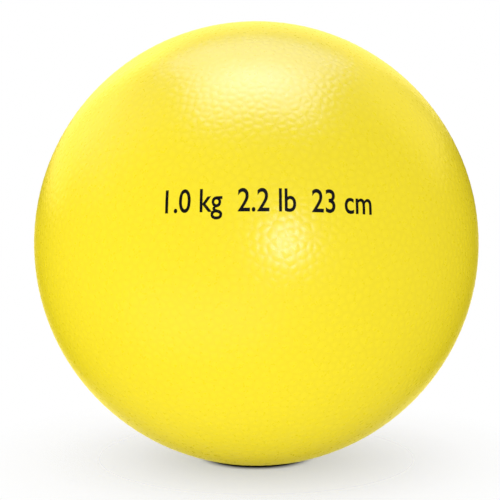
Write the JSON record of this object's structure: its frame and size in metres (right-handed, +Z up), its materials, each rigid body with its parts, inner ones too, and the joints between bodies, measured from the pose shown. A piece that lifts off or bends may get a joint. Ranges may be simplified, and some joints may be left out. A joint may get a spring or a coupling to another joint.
{
  "type": "medicine ball",
  "caption": "Round pebble-grained soft medicine ball with a needle valve and a plain printed weight mark, for lifting, passing and balance exercises.",
  "frame": {"origin": "on the floor, at the middle of the flat foot that the ball rests on", "axes": "+Z up through the ball's centre, -Y the front with the printed weight mark, +Y the back with the valve, +X to the right seen from the front"},
  "size_m": [0.23, 0.23, 0.2282],
  "materials": {
    "yellow_vinyl": "satin",
    "heavy_rubber": "matte",
    "carcass_rubber": "matte",
    "nylon_thread": "matte",
    "butyl": "satin",
    "valve_rubber": "matte",
    "core_rubber": "satin"
  },
  "bodies": {
    "ball": {"cover": "yellow_vinyl", "weight_shell_upper": "heavy_rubber", "weight_shell_lower": "heavy_rubber", "carcass_skin": "carcass_rubber", "thread_winding": "nylon_thread", "air_bladder": "butyl", "valve_seat": "valve_rubber"},
    "core": {"valve_core": "core_rubber"}
  },
  "joints": [
    {"name": "valve_core_pull", "type": "slide", "parent": "ball", "child": "core", "axis": [0, 0.9063, 0.4226], "range_m": [0, 0.024]}
  ]
}
